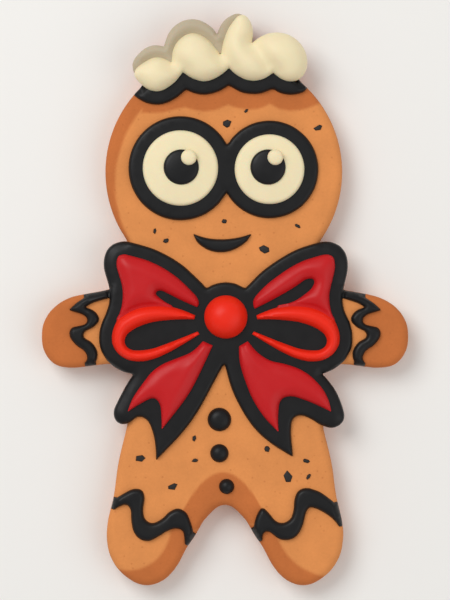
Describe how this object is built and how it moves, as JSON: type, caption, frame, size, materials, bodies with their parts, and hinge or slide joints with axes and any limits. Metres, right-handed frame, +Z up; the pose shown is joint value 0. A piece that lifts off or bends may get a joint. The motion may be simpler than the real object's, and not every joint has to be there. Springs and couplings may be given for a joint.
{
  "type": "gingerbread man cookie",
  "caption": "Flat gingerbread man biscuit lying face up, iced with a frosting tuft, round eyes, a smile, a red bow, black buttons and black wavy bands at wrists and ankles.",
  "frame": {"origin": "under the middle of the biscuit, on the surface it lies on", "axes": "+Z up out of the iced face, +Y towards the head, +X to the right seen from above"},
  "size_m": [0.0916, 0.1426, 0.0141],
  "materials": {
    "baked_gingerbread": "matte baked dough, browner at hands, feet and brow",
    "black_icing": "set royal icing, soft gloss",
    "cream_icing": "set royal icing, soft satin",
    "shaded_cream_icing": "set royal icing, soft satin",
    "dark_red_icing": "set royal icing, soft gloss",
    "bright_red_icing": "set royal icing, soft gloss"
  },
  "bodies": {
    "root": {"gingerbread": "baked_gingerbread", "frosting_outline": "black_icing", "eye_surround": "black_icing", "pupil_left": "black_icing", "pupil_right": "black_icing", "smile": "black_icing", "button_top": "black_icing", "button_middle": "black_icing", "button_bottom": "black_icing", "bow_outline": "black_icing", "cuff_left": "black_icing", "cuff_right": "black_icing", "ankle_left": "black_icing", "ankle_right": "black_icing", "frosting_front": "cream_icing", "eye_white_left": "cream_icing", "eye_white_right": "cream_icing", "glint_left": "cream_icing", "glint_right": "cream_icing", "frosting_back": "shaded_cream_icing", "bow_loop_back_left": "dark_red_icing", "bow_loop_back_right": "dark_red_icing", "bow_tail_left": "dark_red_icing", "bow_tail_right": "dark_red_icing", "bow_loop_front_left": "bright_red_icing", "bow_loop_front_right": "bright_red_icing", "bow_knot": "bright_red_icing"}
  },
  "joints": []
}
